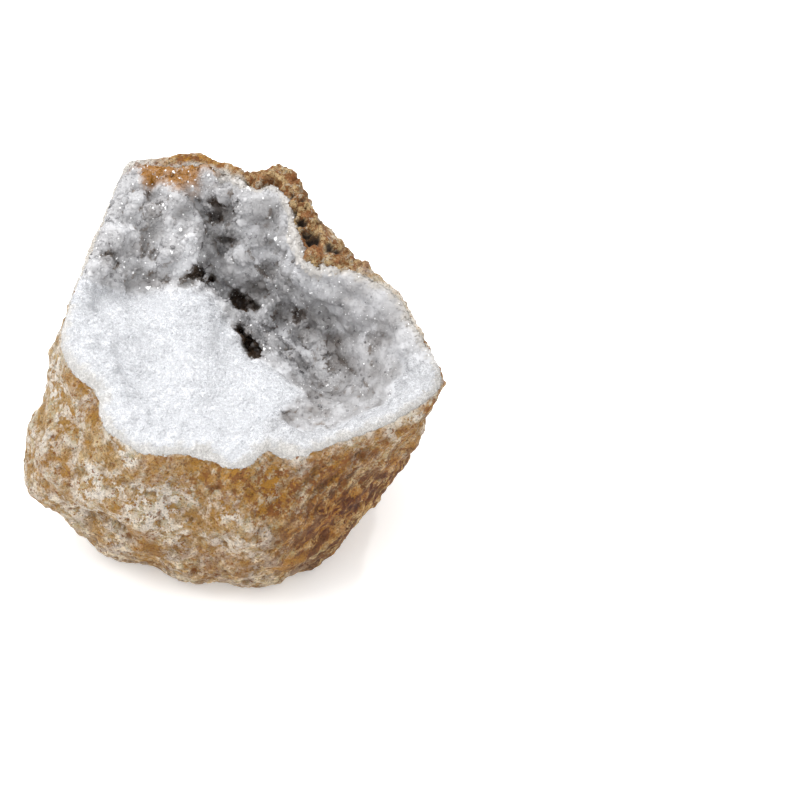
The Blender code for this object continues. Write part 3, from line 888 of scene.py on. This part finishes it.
def scattered_on(mesh, wanted, count, seed):
    """Random places on the mesh's wanted faces: point, normal and a vertex of the face."""
    dice = np.random.default_rng(seed)
    points, normals = mesh_points(mesh), mesh_normals(mesh)
    triangles = mesh_triangles(mesh)
    triangles = triangles[wanted[triangles].all(axis=1)]
    a, b, c = (points[triangles[:, k]] for k in range(3))
    areas = np.linalg.norm(np.cross(b - a, c - a), axis=1) / 2
    chosen = dice.choice(len(triangles), count, p=areas / areas.sum())
    u, v = dice.random(count), dice.random(count)
    over = u + v > 1
    u[over], v[over] = 1 - u[over], 1 - v[over]
    places = a[chosen] + u[:, None] * (b - a)[chosen] + v[:, None] * (c - a)[chosen]
    vertex = triangles[chosen, 0]
    return places, normals[vertex], vertex


def tilted_axes(normals, spread, seed):
    dice = np.random.default_rng(seed)
    axes = normals + dice.normal(size=normals.shape) * spread
    return axes / np.linalg.norm(axes, axis=1, keepdims=True)


# Materials

MIX_SHARE = 0
MIX_FIRST = 6
MIX_SECOND = 7
MIX_COLOR = 2
QUARTZ_IOR = 1.54
STREAK_SLOPE = math.radians(45)


def new_material(name):
    material = bpy.data.materials.new(name)
    material.use_nodes = True
    tree = material.node_tree
    return material, tree, tree.nodes["Principled BSDF"]


def put(tree, socket, value):
    """Links a node's output to a socket, or sets the socket to a number or colour."""
    if isinstance(value, bpy.types.NodeSocket):
        tree.links.new(value, socket)
    elif isinstance(value, tuple):
        socket.default_value = (*value, 1.0)
    else:
        socket.default_value = value


def mark_node(tree, name):
    """The vertices' values that are stored under that name."""
    node = tree.nodes.new("ShaderNodeAttribute")
    node.attribute_name = name
    return node.outputs["Fac"]


def noise_node(tree, width, detail, roughness, distortion=0.0, stretch=1.0):
    """Noise whose lumps are that many millimetres wide and stretched into streaks that rise to the right."""
    coordinates = tree.nodes.new("ShaderNodeTexCoord")
    place = tree.nodes.new("ShaderNodeMapping")
    place.vector_type = "TEXTURE"
    place.inputs["Rotation"].default_value = (0.0, -STREAK_SLOPE, 0.0)
    place.inputs["Scale"].default_value = (stretch, 1.0, 1.0)
    tree.links.new(coordinates.outputs["Object"], place.inputs["Vector"])
    node = tree.nodes.new("ShaderNodeTexNoise")
    node.inputs["Scale"].default_value = 1 / (width * MM)
    node.inputs["Detail"].default_value = detail
    node.inputs["Roughness"].default_value = roughness
    node.inputs["Distortion"].default_value = distortion
    tree.links.new(place.outputs["Vector"], node.inputs["Vector"])
    return node.outputs["Fac"]


def ramp_node(tree, value, stops):
    """A value from 0 to 1 looked up between the stops, each a place and a number."""
    node = tree.nodes.new("ShaderNodeValToRGB")
    ramp = node.color_ramp
    while len(ramp.elements) < len(stops):
        ramp.elements.new(0.5)
    for element, (place, number) in zip(ramp.elements, stops):
        element.position = place
        element.color = (number, number, number, 1.0)
    tree.links.new(value, node.inputs["Fac"])
    return node.outputs["Color"]


def patches(tree, width, low, high, most=1.0, least=0.0, detail=4, roughness=0.75, **shape):
    """Patches about that wide: least where the noise is under low, most where it is over high."""
    lumps = noise_node(tree, width, detail, roughness, **shape)
    return ramp_node(tree, lumps, [(low, least), (high, most)])


def mixed(tree, share, first, second, kind="MIX"):
    node = tree.nodes.new("ShaderNodeMix")
    node.data_type = "RGBA"
    node.blend_type = kind
    put(tree, node.inputs[MIX_SHARE], share)
    put(tree, node.inputs[MIX_FIRST], first)
    put(tree, node.inputs[MIX_SECOND], second)
    return node.outputs[MIX_COLOR]


def calculated(tree, operation, first, second=0.0, clamp=False):
    node = tree.nodes.new("ShaderNodeMath")
    node.operation = operation
    node.use_clamp = clamp
    put(tree, node.inputs[0], first)
    put(tree, node.inputs[1], second)
    return node.outputs[0]


def times(tree, first, second):
    return calculated(tree, "MULTIPLY", first, second)


def bump(tree, shader, height, depth):
    node = tree.nodes.new("ShaderNodeBump")
    node.inputs["Strength"].default_value = 1.0
    node.inputs["Distance"].default_value = depth * MM
    tree.links.new(height, node.inputs["Height"])
    tree.links.new(node.outputs["Normal"], shader.inputs["Normal"])


# Colours of the stone
TAN = (0.34, 0.19, 0.060)
SAND = (0.70, 0.51, 0.27)
GREY_STONE = (0.51, 0.46, 0.32)
GOLDEN = (0.38, 0.185, 0.020)
CHALK = (0.84, 0.76, 0.66)
CREVICE = (0.20, 0.09, 0.018)
OCHRE = (0.44, 0.20, 0.016)
RUST = (0.25, 0.085, 0.01)
LAYER_BROWN = (0.17, 0.075, 0.012)
FRINGE = (0.80, 0.76, 0.70)
# Painted shade, near black, in the deep pits of the porous edge
HOLLOW_SHADE = (0.04, 0.022, 0.010)

# Colours of its porous broken edge
EDGE_BROWN = (0.24, 0.10, 0.018)
EDGE_TAN = (0.62, 0.43, 0.21)
EDGE_RUST = (0.30, 0.10, 0.02)
EDGE_CHALK = (0.62, 0.55, 0.42)

# What painted shade and soil multiply the stone's colour by, darker and more orange-brown, between the
# streaks and in them
SHADE_AND_SOIL = (1.0, 0.83, 0.50)
SHADE_AND_SOIL_STREAK = (0.32, 0.145, 0.012)

# Colours of the quartz
MILK = (0.72, 0.73, 0.76)
SMOKE = (0.29, 0.28, 0.28)
CLOUD = (0.72, 0.72, 0.74)
# Painted shade in the creases
CREASE_SHADE = (0.20, 0.155, 0.12)
CREAM = (0.62, 0.56, 0.47)
# Painted shade, for shut-in places and the gaps
SHADE = (0.075, 0.046, 0.026)
QUARTZ_STAIN = (0.30, 0.12, 0.003)


def stone_ground(tree):
    """Tan, sandy, grey and golden stone with ochre veins and chalky crumbs, fewer where it is stained."""
    color = mixed(tree, patches(tree, 3.2, 0.38, 0.60, detail=6, roughness=0.8), TAN, SAND)
    grey = patches(tree, 8, 0.47, 0.56, most=0.85, detail=6, distortion=0.5)
    color = mixed(tree, grey, color, GREY_STONE)
    gold = patches(tree, 6.0, 0.49, 0.56, most=0.85, detail=6, distortion=0.4)
    color = mixed(tree, gold, color, GOLDEN)
    from_middle = calculated(tree, "SUBTRACT", noise_node(tree, 4.5, 5, 0.75), 0.5)
    off_vein = calculated(tree, "ABSOLUTE", from_middle)
    color = mixed(tree, ramp_node(tree, off_vein, [(0.0, 0.8), (0.035, 0.0)]), color, OCHRE)
    crumbs = patches(tree, 2.6, 0.475, 0.52, detail=6, roughness=0.7, distortion=0.2)
    field = patches(tree, 8, 0.40, 0.54, least=0.05, roughness=0.65)
    raised = times(tree, times(tree, mark_node(tree, "bumps"), 0.7), field)
    chalky = calculated(tree, "MAXIMUM", times(tree, crumbs, field), raised)
    clean = calculated(tree, "SUBTRACT", 1.0, times(tree, mark_node(tree, "stain"), 0.6), clamp=True)
    return mixed(tree, times(tree, chalky, clean), color, CHALK)


def stone_edge(tree):
    """The porous broken edge: brown and tan grains, rusty and chalky in places."""
    color = mixed(tree, patches(tree, 1.2, 0.42, 0.55, detail=3, roughness=0.7), EDGE_BROWN, EDGE_TAN)
    color = mixed(tree, patches(tree, 3.5, 0.47, 0.56, most=0.8), color, EDGE_RUST)
    chalky = patches(tree, 2.6, 0.54, 0.60, most=0.7, roughness=0.7, distortion=0.4)
    return mixed(tree, chalky, color, EDGE_CHALK)


def stone_material():
    material, tree, shader = new_material("chalky_stone")
    color = stone_ground(tree)
    sunken = patches(tree, 1.6, 0.36, 0.56, most=0.85, least=0.15)
    color = mixed(tree, times(tree, mark_node(tree, "cavity"), sunken), color, CREVICE)
    stain = mark_node(tree, "stain")
    color = mixed(tree, times(tree, stain, patches(tree, 2.0, 0.45, 0.53, stretch=2.5)), color, OCHRE)
    color = mixed(tree, times(tree, stain, patches(tree, 1.8, 0.49, 0.56)), color, RUST)
    furrows = times(tree, mark_node(tree, "layer"), patches(tree, 1.4, 0.44, 0.54, most=0.9, detail=3))
    color = mixed(tree, furrows, color, LAYER_BROWN)
    color = mixed(tree, mark_node(tree, "porous"), color, stone_edge(tree))
    color = mixed(tree, mark_node(tree, "pale"), color, FRINGE)
    fine = ramp_node(tree, noise_node(tree, 0.5, 3, 0.8), [(0.34, 0.35), (0.44, 0.9), (0.62, 1.15)])
    color = mixed(tree, 1.0, color, fine, "MULTIPLY")
    color = mixed(tree, patches(tree, 0.9, 0.62, 0.66, most=0.9, detail=2, roughness=0.7), color, RUST)
    # Painted shade near the foot and on the right, together with orange-brown soil and streaks
    streak = patches(tree, 2.0, 0.46, 0.53, roughness=0.7, distortion=0.3, stretch=4.0)
    shaded_and_soiled = mixed(tree, 1.0, color, mixed(tree, streak, SHADE_AND_SOIL, SHADE_AND_SOIL_STREAK), "MULTIPLY")
    color = mixed(tree, mark_node(tree, "shade_and_soil"), color, shaded_and_soiled)
    color = mixed(tree, mark_node(tree, "pit"), color, RUST)
    # Painted shade in the deep pits of the porous edge
    color = mixed(tree, mark_node(tree, "hollow"), color, HOLLOW_SHADE)
    put(tree, shader.inputs["Base Color"], color)
    put(tree, shader.inputs["Roughness"], patches(tree, 1.5, 0.3, 0.7, most=0.98, least=0.7, roughness=0.7))
    bump(tree, shader, noise_node(tree, 1.3, 4, 0.8), 2.4)
    return material


def quartz_color(tree):
    """White on the mound, clouded grey on the walls, with painted light deep in the hollow, and brown-grey
    painted shade where it is shut in, in the creases and in the gaps.
    """
    cloud = patches(tree, 6.0, 0.40, 0.60, most=0.3, roughness=0.5, distortion=0.3)
    cloud = calculated(tree, "ADD", cloud, times(tree, mark_node(tree, "tone"), 0.6))
    cloud = calculated(tree, "SUBTRACT", cloud, times(tree, mark_node(tree, "gentle"), 0.14))
    # Painted light: the walls get lighter where they are less open, deep in the hollow
    inward_light = ramp_node(tree, mark_node(tree, "sky"), [(0.2, 0.5), (0.7, 0.0)])
    wall = mixed(tree, calculated(tree, "ADD", cloud, inward_light, clamp=True), SMOKE, CLOUD)
    # Painted shade, brown, in the walls' creases
    wall = mixed(tree, times(tree, mark_node(tree, "crease_shade"), 0.75), wall, CREASE_SHADE)
    color = mixed(tree, mark_node(tree, "sugar"), wall, MILK)
    color = mixed(tree, times(tree, mark_node(tree, "cream"), 0.4), color, CREAM)
    blotch = patches(tree, 2.0, 0.36, 0.44, detail=6, roughness=0.8)
    color = mixed(tree, times(tree, mark_node(tree, "stain"), blotch), color, QUARTZ_STAIN)
    # Painted shade: brown-black where almost nothing is open
    shut_shade = ramp_node(tree, mark_node(tree, "sky"), [(0.0, 1.0), (0.10, 0.5), (0.30, 0.0)])
    color = mixed(tree, shut_shade, color, SHADE)
    # Painted shade in the listed gaps
    return mixed(tree, mark_node(tree, "gap"), color, SHADE)


def crust_material():
    material, tree, shader = new_material("white_quartz")
    put(tree, shader.inputs["Base Color"], quartz_color(tree))
    shader.inputs["Roughness"].default_value = 0.35
    shader.inputs["IOR"].default_value = QUARTZ_IOR
    shader.inputs["Subsurface Weight"].default_value = 0.5
    shader.inputs["Subsurface Radius"].default_value = (1.0, 0.95, 0.95)
    shader.inputs["Subsurface Scale"].default_value = 2.2 * MM
    bump(tree, shader, noise_node(tree, 0.9, 4, 0.7), 0.25)
    return material


def crystal_material(name, transmission, roughness):
    """Quartz in the colours of the skin under it, each crystal with its own tint."""
    material, tree, shader = new_material(name)
    tint = ramp_node(tree, mark_node(tree, "tint"), [(0.0, 0.9), (1.0, 1.0)])
    put(tree, shader.inputs["Base Color"], mixed(tree, 1.0, quartz_color(tree), tint, "MULTIPLY"))
    shader.inputs["Roughness"].default_value = roughness
    shader.inputs["IOR"].default_value = QUARTZ_IOR
    shader.inputs["Transmission Weight"].default_value = transmission
    return material


def painted_glint_material():
    """Pure white crystal tips that catch the light and are painted brighter than the quartz around them, as
    painted glints.
    """
    material, _, shader = new_material("painted_glint_quartz")
    shader.inputs["Base Color"].default_value = (1.0, 1.0, 1.0, 1.0)
    shader.inputs["Roughness"].default_value = 0.1
    shader.inputs["IOR"].default_value = QUARTZ_IOR
    return material


# The room

FLOOR_REACH = 3000.0
FLOOR_GLOW = 0.25
WORLD_STRENGTH = 1.15

# Square soft lights that look at the stone's middle: name, place, width and power
LIGHT_AIM = (0.0, 0.0, 40.0)
LIGHTS = [
    ("key_softbox", (-330, -80, 780), 550, 3.0),
    ("left_spark", (-250, 100, 600), 40, 0.8),
    ("right_spark", (250, 250, 500), 40, 0.6),
]


def make_floor():
    mesh = bpy.data.meshes.new("floor")
    reach = FLOOR_REACH * MM
    corners = [(-reach, -reach, 0), (reach, -reach, 0), (reach, reach, 0), (-reach, reach, 0)]
    mesh.from_pydata(corners, [], [(0, 1, 2, 3)])
    floor = bpy.data.objects.new("floor", mesh)
    bpy.context.scene.collection.objects.link(floor)
    material, _, shader = new_material("white_floor")
    shader.inputs["Base Color"].default_value = (0.97, 0.97, 0.97, 1.0)
    shader.inputs["Roughness"].default_value = 0.8
    shader.inputs["Emission Color"].default_value = (1.0, 1.0, 1.0, 1.0)
    shader.inputs["Emission Strength"].default_value = FLOOR_GLOW
    mesh.materials.append(material)


def make_camera():
    camera = bpy.data.objects.new("camera", bpy.data.cameras.new("camera"))
    camera.data.lens = CAMERA_LENS
    camera.data.sensor_width = CAMERA_SENSOR
    camera.data.clip_start = CAMERA_NEAR * MM
    turned = Matrix(((1.0, 0.0, 0.0), CAMERA_UP, CAMERA_BACK)).transposed().to_4x4()
    eye = (np.array(CAMERA_AIM) + CAMERA_BACK * CAMERA_DISTANCE) * MM
    camera.matrix_world = Matrix.Translation(Vector(eye)) @ turned
    bpy.context.scene.collection.objects.link(camera)
    bpy.context.scene.camera = camera


def make_lights():
    for name, place, width, power in LIGHTS:
        data = bpy.data.lights.new(name, "AREA")
        data.shape = "SQUARE"
        data.size = width * MM
        data.energy = power
        light = bpy.data.objects.new(name, data)
        light.location = Vector(place) * MM
        towards = Vector(LIGHT_AIM) * MM - light.location
        light.rotation_euler = towards.to_track_quat("-Z", "Y").to_euler()
        bpy.context.scene.collection.objects.link(light)
    world = bpy.data.worlds.new("studio")
    world.use_nodes = True
    background = world.node_tree.nodes["Background"]
    background.inputs["Color"].default_value = (1.0, 1.0, 1.0, 1.0)
    background.inputs["Strength"].default_value = WORLD_STRENGTH
    bpy.context.scene.world = world
    bpy.context.scene.view_settings.view_transform = "Standard"


# The pieces

# The crystals: name, count, middle width, spread of widths, shaft in widths and seed
SUGAR = ("sugar", 32000, 0.45, 0.25, 0.0, 51)
WALL_CRYSTALS = ("wall_crystals", 24000, 0.6, 0.45, -0.12, 61)
CLEAR_POINTS = ("clear_points", 90, 0.8, 0.3, 0.5, 81)
# Painted glints: tiny pure white crystals scattered on the walls
PAINTED_GLINTS = ("painted_glints", 900, 0.27, 0.4, 0.4, 71)
MOUND_SUGAR = 0.5


def make_stone():
    mesh = stone_mesh()
    mesh.shade_smooth()
    add_piece("stone", mesh, stone_material(), "chalky_stone", "rind")


def make_crystals(piece, ground, wanted, marks, material):
    """One of the pieces of crystals, on the wanted part of the ground, smaller where it is gentle."""
    name, count, width, spread, shaft, seed = piece
    places, normals, vertex = scattered_on(ground, wanted, count, seed)
    dice = np.random.default_rng(seed + 1)
    sizes = width * np.exp(dice.normal(size=count) * spread)
    sizes *= 1 - GENTLE_SHRINKING * (marks["gentle"] * (1 - marks["sugar"]))[vertex]
    own = {mark: values[vertex] for mark, values in marks.items()}
    axes = tilted_axes(normals, CRYSTAL_TILT, seed + 2)
    mesh = crystals_mesh(name, places, axes, sizes, shaft, own, seed + 3)
    add_piece(name, mesh, material, "white_quartz")


def make_quartz():
    mesh, shown, marks = crust_mesh()
    mesh.shade_smooth()
    add_piece("quartz", mesh, crust_material(), "white_quartz", "crystal_crust")
    mound = shown & (marks["sugar"] > MOUND_SUGAR)
    wall = shown & (marks["sugar"] <= MOUND_SUGAR)
    sugar = crystal_material("sugar_quartz", transmission=0.2, roughness=0.15)
    clouded = crystal_material("clouded_quartz", transmission=0.1, roughness=0.3)
    clear = crystal_material("clear_quartz", transmission=0.5, roughness=0.05)
    make_crystals(SUGAR, mesh, mound, marks, sugar)
    make_crystals(WALL_CRYSTALS, mesh, wall, marks, clouded)
    make_crystals(CLEAR_POINTS, mesh, wall, marks, clear)
    make_crystals(PAINTED_GLINTS, mesh, wall, marks, painted_glint_material())


make_camera()
make_floor()
make_lights()
make_stone()
make_quartz()
